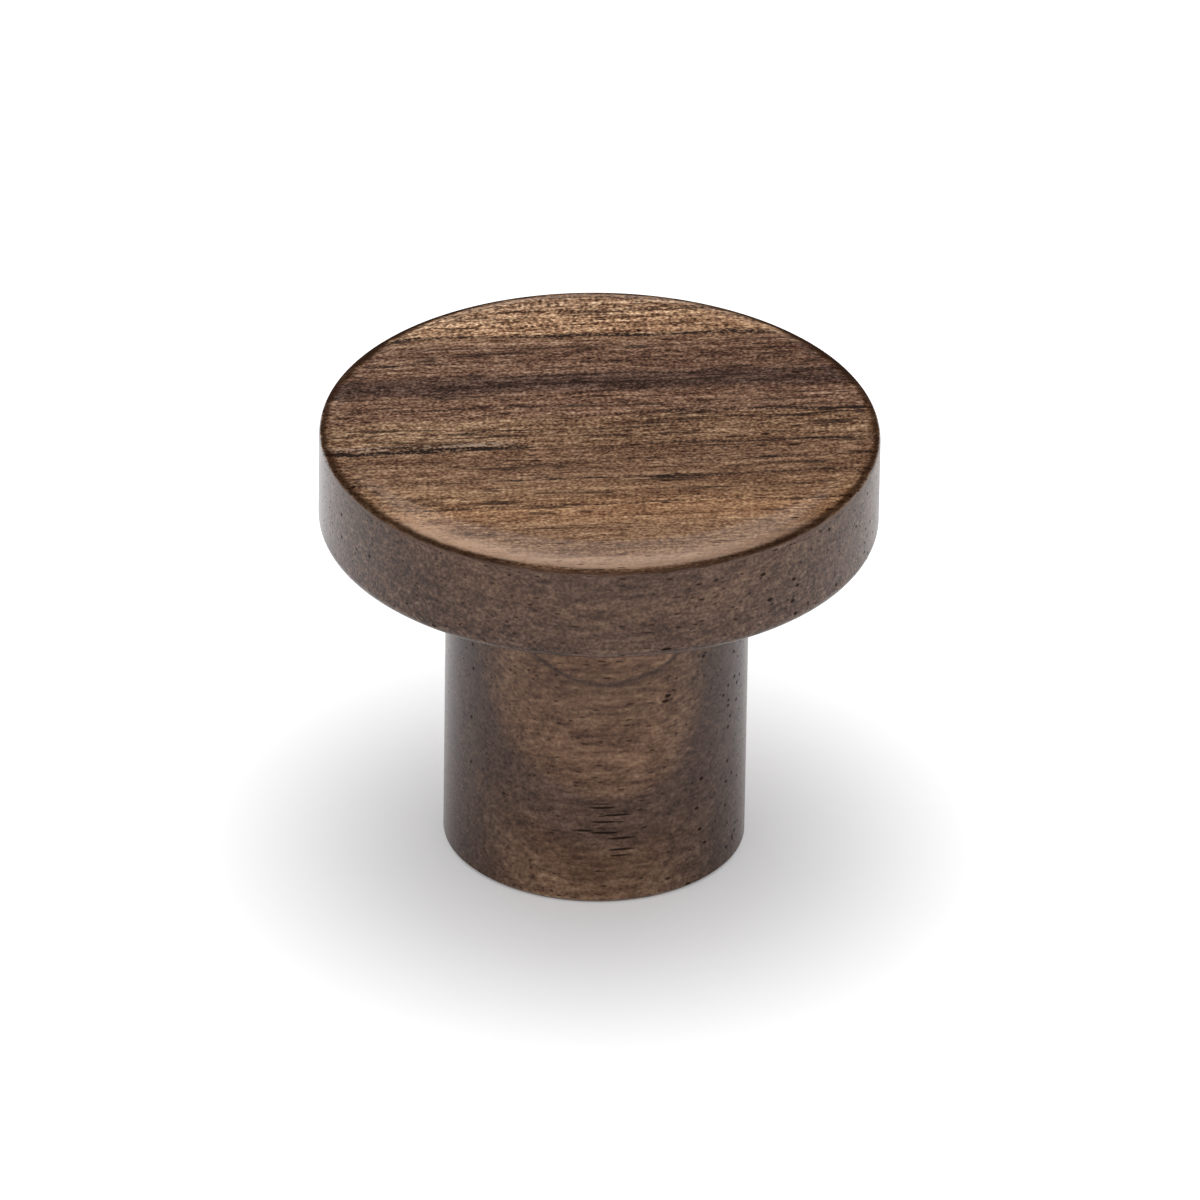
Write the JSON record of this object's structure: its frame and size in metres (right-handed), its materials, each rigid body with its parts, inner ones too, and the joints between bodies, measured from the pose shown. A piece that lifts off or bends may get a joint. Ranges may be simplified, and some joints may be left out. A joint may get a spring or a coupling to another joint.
{
  "type": "cabinet knob",
  "caption": "Round flat-faced wooden cabinet knob on a straight cylindrical stem, with a knurled brass screw insert set in its foot.",
  "frame": {"origin": "centre of the foot, on the surface that the knob is mounted on", "axes": "+Z along the knob's axis, from the foot to the face; +X along the wood's grain; +Y across it"},
  "size_m": [0.035, 0.035, 0.0296],
  "materials": {
    "walnut": "walnut with satin clear lacquer, grain running along X through head and stem",
    "insert_brass": "bare machined brass, knurled outside and tapped inside"
  },
  "bodies": {
    "root": {"knob_body": "walnut", "threaded_insert": "insert_brass"}
  },
  "joints": []
}
